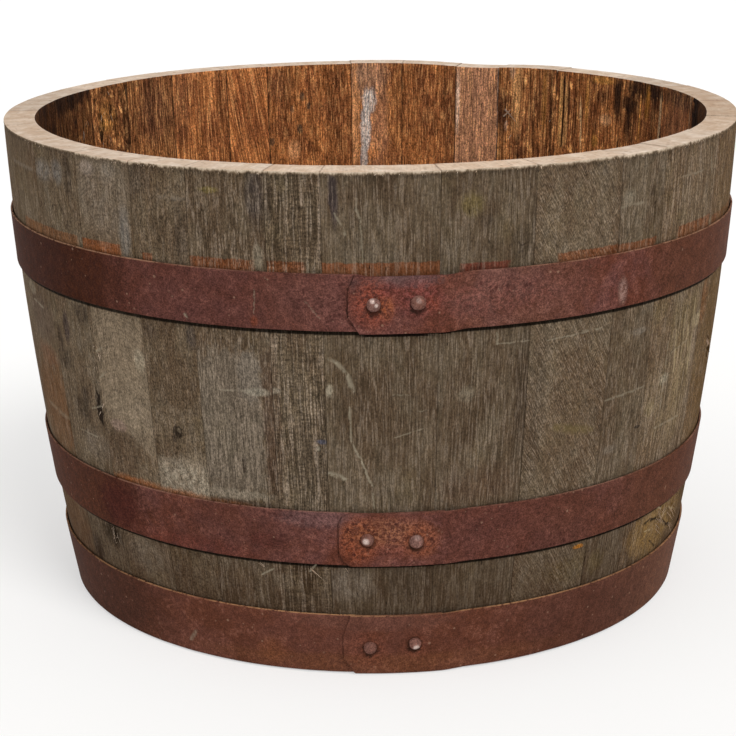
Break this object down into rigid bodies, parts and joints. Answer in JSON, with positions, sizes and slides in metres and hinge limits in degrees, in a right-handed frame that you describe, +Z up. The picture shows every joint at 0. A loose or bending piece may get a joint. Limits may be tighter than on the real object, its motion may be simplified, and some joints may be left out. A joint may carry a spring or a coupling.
{
  "type": "half-barrel planter",
  "caption": "Half of an oak cask as an open planter: upright staves, riveted steel hoops and a doweled head for its floor.",
  "frame": {"origin": "on the cask's axis, at the ground under the staves' ends", "axes": "+Z up along the cask's axis; the hoops' riveted laps face -Y; the head boards run along X"},
  "size_m": [0.66, 0.6643, 0.432],
  "materials": {
    "stave_oak": "weathered",
    "head_oak": "stained by wine or spirit",
    "dowel_wood": "plain",
    "hoop_iron": "rusted brown",
    "rivet_iron": "rusted, worn bright on top"
  },
  "bodies": {
    "root": {"stave_01": "stave_oak", "stave_02": "stave_oak", "stave_03": "stave_oak", "stave_04": "stave_oak", "stave_05": "stave_oak", "stave_06": "stave_oak", "stave_07": "stave_oak", "stave_08": "stave_oak", "stave_09": "stave_oak", "stave_10": "stave_oak", "stave_11": "stave_oak", "stave_12": "stave_oak", "stave_13": "stave_oak", "stave_14": "stave_oak", "stave_15": "stave_oak", "stave_16": "stave_oak", "stave_17": "stave_oak", "stave_18": "stave_oak", "stave_19": "stave_oak", "stave_20": "stave_oak", "stave_21": "stave_oak", "stave_22": "stave_oak", "stave_23": "stave_oak", "stave_24": "stave_oak", "stave_25": "stave_oak", "stave_26": "stave_oak", "stave_27": "stave_oak", "stave_28": "stave_oak", "head_board_1": "head_oak", "head_board_2": "head_oak", "head_board_3": "head_oak", "head_board_4": "head_oak", "head_board_5": "head_oak", "head_board_6": "head_oak", "head_board_7": "head_oak", "head_dowels": "dowel_wood", "upper_hoop": "hoop_iron", "middle_hoop": "hoop_iron", "base_hoop": "hoop_iron", "upper_rivets": "rivet_iron", "middle_rivets": "rivet_iron", "base_rivets": "rivet_iron"}
  },
  "joints": []
}
